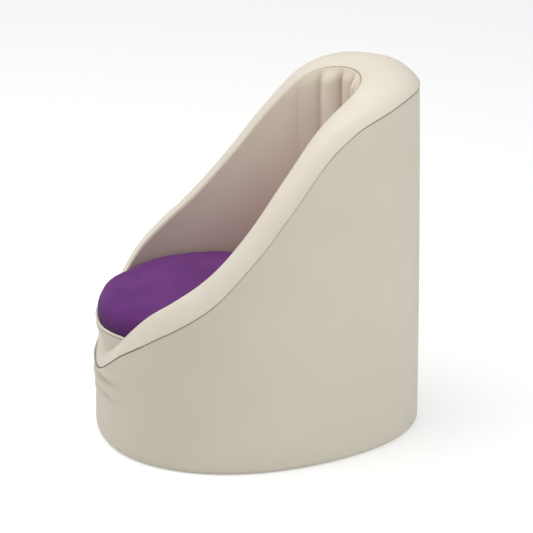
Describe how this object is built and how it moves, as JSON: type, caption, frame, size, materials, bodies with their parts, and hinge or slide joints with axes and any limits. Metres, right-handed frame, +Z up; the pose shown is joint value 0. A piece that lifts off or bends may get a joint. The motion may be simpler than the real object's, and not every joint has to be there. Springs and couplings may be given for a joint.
{
  "type": "child tub chair",
  "caption": "Child's round upholstered tub chair: a foam wall curves down from a high back to a low front sill, around a drum-shaped seat block that lifts out.",
  "frame": {"origin": "on the floor, under the middle of the chair's footprint", "axes": "+Z up, +Y towards the high back, +X to the left arm of a child sitting in it"},
  "size_m": [0.5046, 0.6, 0.6968],
  "materials": {
    "cream_vinyl": "smooth upholstery vinyl with a low sheen",
    "band_vinyl": "smooth upholstery vinyl with a low sheen",
    "purple_cover": "matt fine-grained cover",
    "foam": "upholstery foam",
    "wadding": "polyester wadding",
    "base_fabric": "black non-slip cloth",
    "plywood": "raw plywood"
  },
  "bodies": {
    "tub": {"base_board": "plywood", "base_cloth": "base_fabric", "wall_foam": "foam", "rim_wadding": "wadding", "inner_wadding": "wadding", "inner_cover": "cream_vinyl", "rim_band": "band_vinyl", "outer_cover": "cream_vinyl"},
    "seat": {"seat_base_cloth": "base_fabric", "seat_side_cover": "cream_vinyl", "seat_piping": "band_vinyl", "seat_foam": "foam", "seat_topper": "foam", "seat_top_cover": "purple_cover"}
  },
  "joints": [
    {"name": "seat_lift", "type": "slide", "parent": "tub", "child": "seat", "axis": [0, 0, 1], "range_m": [0, 0.7]}
  ]
}
